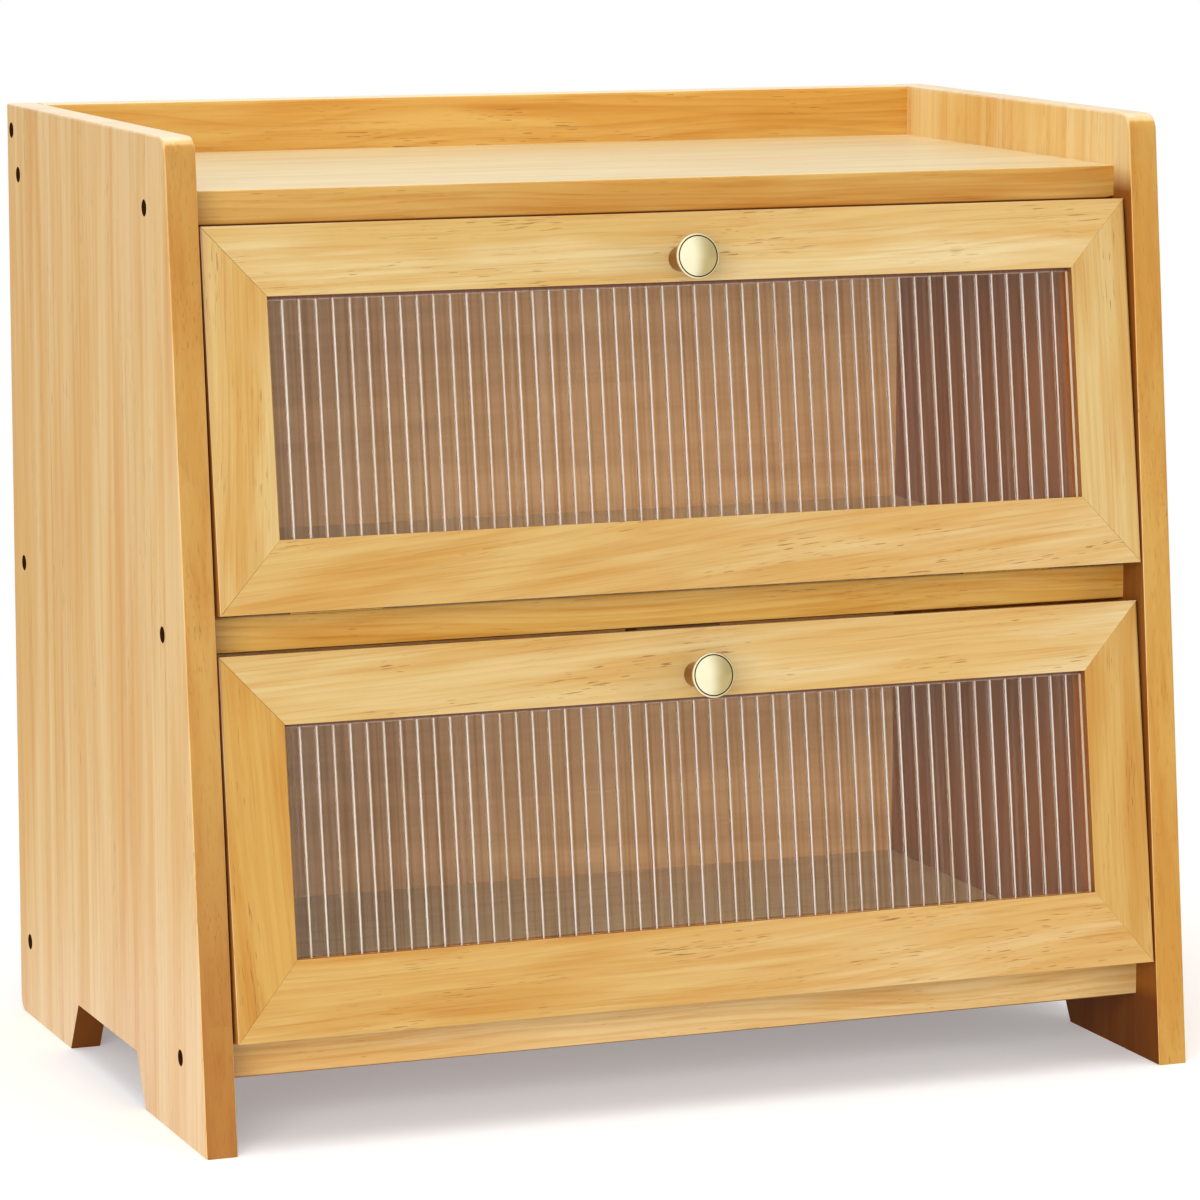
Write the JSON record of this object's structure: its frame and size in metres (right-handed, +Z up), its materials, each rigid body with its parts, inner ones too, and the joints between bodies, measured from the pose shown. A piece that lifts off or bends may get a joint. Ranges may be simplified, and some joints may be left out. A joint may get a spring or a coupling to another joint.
{
  "type": "bread box",
  "caption": "Wooden countertop bread box: two compartments behind drop-down framed doors with ribbed clear windows and small knobs, raked sides on cut-out feet, low gallery on top.",
  "frame": {"origin": "on the ground under the middle of the box: bottom centre of the bounding box", "axes": "+X along the width to the right as seen from the front, +Y to the rear, +Z up"},
  "size_m": [0.4, 0.254, 0.368],
  "materials": {
    "pine_side": "clear satin lacquer on glued-up pine",
    "pine_shelf": "clear satin lacquer on pine",
    "pine_door": "clear satin lacquer on pine",
    "plywood": "thin plywood, lacquered",
    "clear_acrylic": "clear ribbed acrylic sheet",
    "knob_brass": "satin pale brass",
    "hinge_metal": "brass-plated steel",
    "zinc_screw": "zinc-plated steel",
    "catch_plastic": "moulded brown plastic",
    "magnet_steel": "bare ferrite magnet"
  },
  "bodies": {
    "case": {"side_left": "pine_side", "side_right": "pine_side", "bottom_shelf": "pine_shelf", "mid_shelf": "pine_shelf", "top_shelf": "pine_shelf", "back_rail": "pine_shelf", "back_panel": "plywood", "side_screws_left": "zinc_screw", "side_screws_right": "zinc_screw", "back_panel_screws": "zinc_screw", "upper_fixed_leaf_left": "hinge_metal", "upper_fixed_leaf_right": "hinge_metal", "upper_hinge_pin_left": "hinge_metal", "upper_hinge_pin_right": "hinge_metal", "upper_fixed_leaf_screws": "zinc_screw", "upper_catch_body": "catch_plastic", "upper_catch_magnet": "magnet_steel", "upper_catch_screws": "zinc_screw", "lower_fixed_leaf_left": "hinge_metal", "lower_fixed_leaf_right": "hinge_metal", "lower_hinge_pin_left": "hinge_metal", "lower_hinge_pin_right": "hinge_metal", "lower_fixed_leaf_screws": "zinc_screw", "lower_catch_body": "catch_plastic", "lower_catch_magnet": "magnet_steel", "lower_catch_screws": "zinc_screw"},
    "upper_door": {"upper_door_top_rail": "pine_door", "upper_door_bottom_rail": "pine_door", "upper_door_left_stile": "pine_door", "upper_door_right_stile": "pine_door", "upper_window": "clear_acrylic", "upper_knob": "knob_brass", "upper_knob_screw": "zinc_screw", "upper_door_leaf_left": "hinge_metal", "upper_door_leaf_right": "hinge_metal", "upper_door_leaf_screws": "zinc_screw", "upper_strike_plate": "zinc_screw", "upper_strike_screws": "zinc_screw"},
    "lower_door": {"lower_door_top_rail": "pine_door", "lower_door_bottom_rail": "pine_door", "lower_door_left_stile": "pine_door", "lower_door_right_stile": "pine_door", "lower_window": "clear_acrylic", "lower_knob": "knob_brass", "lower_knob_screw": "zinc_screw", "lower_door_leaf_left": "hinge_metal", "lower_door_leaf_right": "hinge_metal", "lower_door_leaf_screws": "zinc_screw", "lower_strike_plate": "zinc_screw", "lower_strike_screws": "zinc_screw"}
  },
  "joints": [
    {"name": "upper_door_hinge", "type": "hinge", "parent": "case", "child": "upper_door", "pos_m": [0, -0.09263, 0.1954], "axis": [1, 0, 0], "range_deg": [0, 98]},
    {"name": "lower_door_hinge", "type": "hinge", "parent": "case", "child": "lower_door", "pos_m": [0, -0.10948, 0.0404], "axis": [1, 0, 0], "range_deg": [0, 98]}
  ]
}
